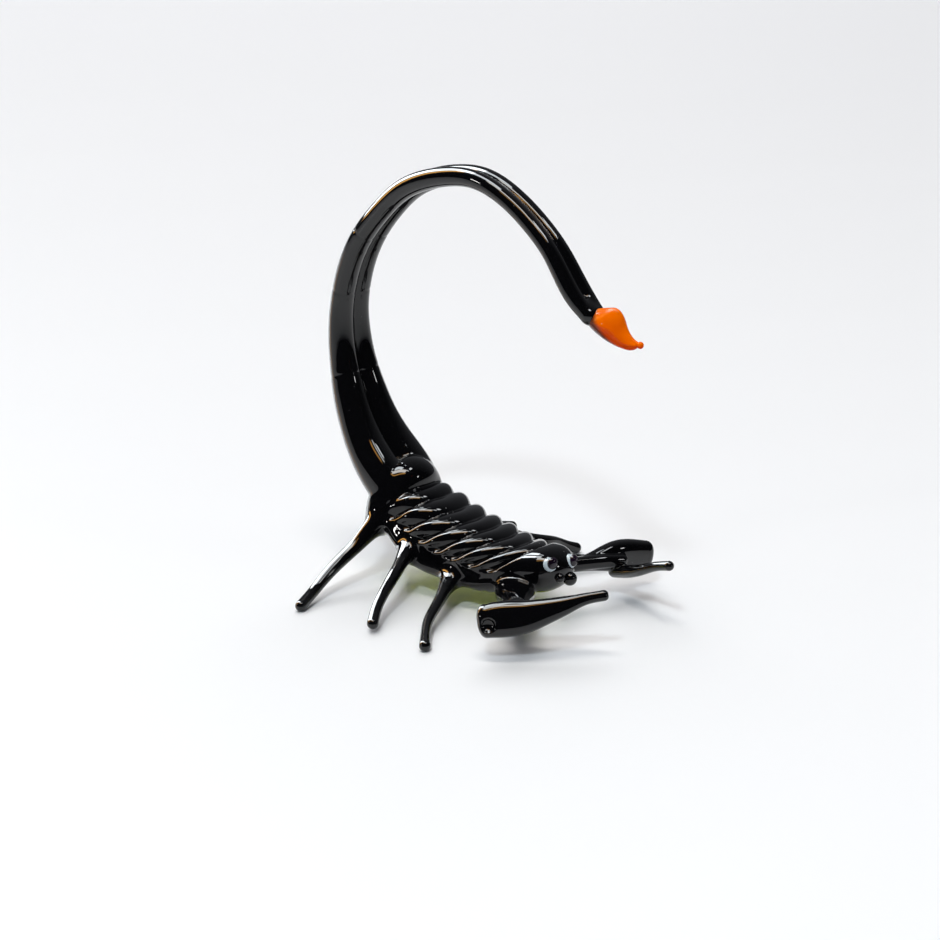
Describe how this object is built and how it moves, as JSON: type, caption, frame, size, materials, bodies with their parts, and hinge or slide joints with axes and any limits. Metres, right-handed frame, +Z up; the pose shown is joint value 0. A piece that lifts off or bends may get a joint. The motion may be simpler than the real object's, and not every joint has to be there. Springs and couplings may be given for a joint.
{
  "type": "glass scorpion figurine",
  "caption": "Lampworked glass scorpion standing on splayed legs, with a ribbed back, flattened claws and a tail arched forward over the back to a hooked sting.",
  "frame": {"origin": "on the floor under the middle of the figurine's outline", "axes": "+Z up, the head toward -Y, the animal's left toward +X"},
  "size_m": [0.0648, 0.0798, 0.0867],
  "materials": {
    "black_glass": "gloss",
    "orange_glass": "gloss",
    "white_glass": "gloss",
    "purple_glass": "gloss"
  },
  "bodies": {
    "root": {"body": "black_glass", "tail": "black_glass", "right_front_leg": "black_glass", "right_middle_leg": "black_glass", "right_rear_leg": "black_glass", "left_front_leg": "black_glass", "left_middle_leg": "black_glass", "left_rear_leg": "black_glass", "right_claw": "black_glass", "left_claw": "black_glass", "right_bead": "black_glass", "left_bead": "black_glass", "sting": "orange_glass", "right_eye": "white_glass", "left_eye": "white_glass", "right_pupil": "purple_glass", "left_pupil": "purple_glass"}
  },
  "joints": []
}
